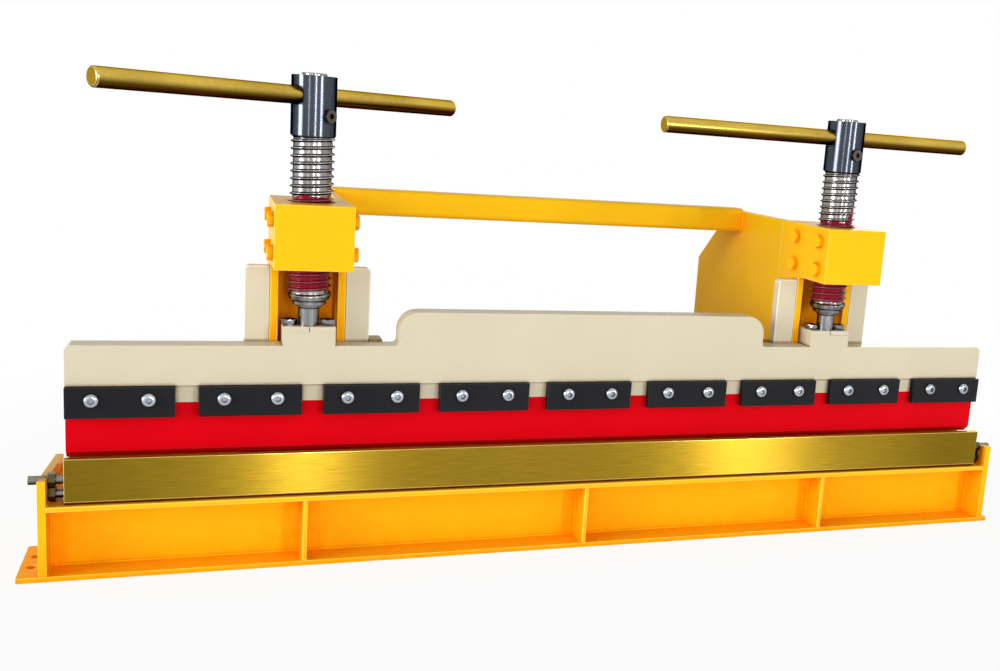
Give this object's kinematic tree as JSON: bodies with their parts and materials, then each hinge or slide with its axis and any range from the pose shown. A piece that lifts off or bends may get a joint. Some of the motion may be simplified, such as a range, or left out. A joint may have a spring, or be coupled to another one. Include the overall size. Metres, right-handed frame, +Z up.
{
  "type": "press brake",
  "caption": "Bench press brake: a ram beam with a clamped bending blade is driven into a grooved die by two hand screws with sliding tommy bars.",
  "frame": {"origin": "bench face of the sole plate, midway along the ram, under the ram beam's front face", "axes": "+X along the ram, +Y away from the operator, +Z up along the screws"},
  "size_m": [1.0704, 0.4106, 0.4725],
  "materials": {
    "yellow_paint": "gloss",
    "beige_paint": "gloss",
    "bronze": "satin",
    "die_coat": "brushed",
    "red_paint": "gloss",
    "black_paint": "satin",
    "zinc": "satin",
    "bright_steel": "polished",
    "dark_steel": "polished",
    "passivated_steel": "satin"
  },
  "bodies": {
    "frame": {"base_sole_plate": "yellow_paint", "base_front_web": "yellow_paint", "base_rear_web": "yellow_paint", "base_table_plate": "yellow_paint", "base_rib_left": "yellow_paint", "base_rib_middle": "yellow_paint", "base_rib_right": "yellow_paint", "end_plate_left": "yellow_paint", "end_plate_right": "yellow_paint", "rear_foot_left": "yellow_paint", "rear_foot_right": "yellow_paint", "left_frame_outer_side": "yellow_paint", "left_frame_inner_side": "yellow_paint", "left_frame_back_plate": "yellow_paint", "right_frame_inner_side": "yellow_paint", "right_frame_outer_side": "yellow_paint", "right_frame_back_plate": "yellow_paint", "left_outer_guide_bar": "beige_paint", "left_inner_guide_bar": "beige_paint", "right_inner_guide_bar": "beige_paint", "right_outer_guide_bar": "beige_paint", "left_head_block": "yellow_paint", "right_head_block": "yellow_paint", "left_screw_nut": "bronze", "right_screw_nut": "bronze", "left_head_bolts": "yellow_paint", "right_head_bolts": "yellow_paint", "tie_tube": "yellow_paint", "die_bar": "die_coat", "die_studs": "zinc", "die_lock_nuts": "bronze"},
    "ram": {"ram_beam": "beige_paint", "ram_blade": "red_paint", "clamp_plate_1": "black_paint", "clamp_plate_2": "black_paint", "clamp_plate_3": "black_paint", "clamp_plate_4": "black_paint", "clamp_plate_5": "black_paint", "clamp_plate_6": "black_paint", "clamp_plate_7": "black_paint", "clamp_plate_8": "black_paint", "clamp_plate_9": "black_paint", "clamp_screws": "zinc", "left_keeper_block": "beige_paint", "left_keeper_cap_a": "beige_paint", "left_keeper_cap_b": "beige_paint", "right_keeper_block": "beige_paint", "right_keeper_cap_a": "beige_paint", "right_keeper_cap_b": "beige_paint", "keeper_bolts": "zinc", "left_guide_shoe": "bronze", "right_guide_shoe": "bronze"},
    "left_screw": {"left_spindle": "bright_steel", "left_hub": "dark_steel", "left_hub_screw": "zinc"},
    "right_screw": {"right_spindle": "bright_steel", "right_hub": "dark_steel", "right_hub_screw": "zinc"},
    "left_bar": {"left_tommy_bar": "passivated_steel"},
    "right_bar": {"right_tommy_bar": "passivated_steel"}
  },
  "joints": [
    {"name": "ram_slide", "type": "slide", "parent": "frame", "child": "ram", "axis": [0, 0, 1], "range_m": [-0.012, 0.04]},
    {"name": "left_screw_turn", "type": "hinge", "parent": "ram", "child": "left_screw", "pos_m": [-0.288, 0.0142, 0.3], "axis": [0, 0, 1], "range_deg": [-617.15, 2057.15]},
    {"name": "right_screw_turn", "type": "hinge", "parent": "ram", "child": "right_screw", "pos_m": [0.288, 0.0142, 0.3], "axis": [0, 0, 1], "range_deg": [-617.15, 2057.15]},
    {"name": "left_bar_slide", "type": "slide", "parent": "left_screw", "child": "left_bar", "axis": [0.8202, 0.5721, 0], "range_m": [-0.06, 0.092]},
    {"name": "right_bar_slide", "type": "slide", "parent": "right_screw", "child": "right_bar", "axis": [0.9963, 0.0854, 0], "range_m": [-0.046, 0.106]}
  ],
  "couplings": [
    {"joint": "left_screw_turn", "follows": "ram_slide", "rad_per_m": 897.6},
    {"joint": "right_screw_turn", "follows": "ram_slide", "rad_per_m": 897.6}
  ]
}
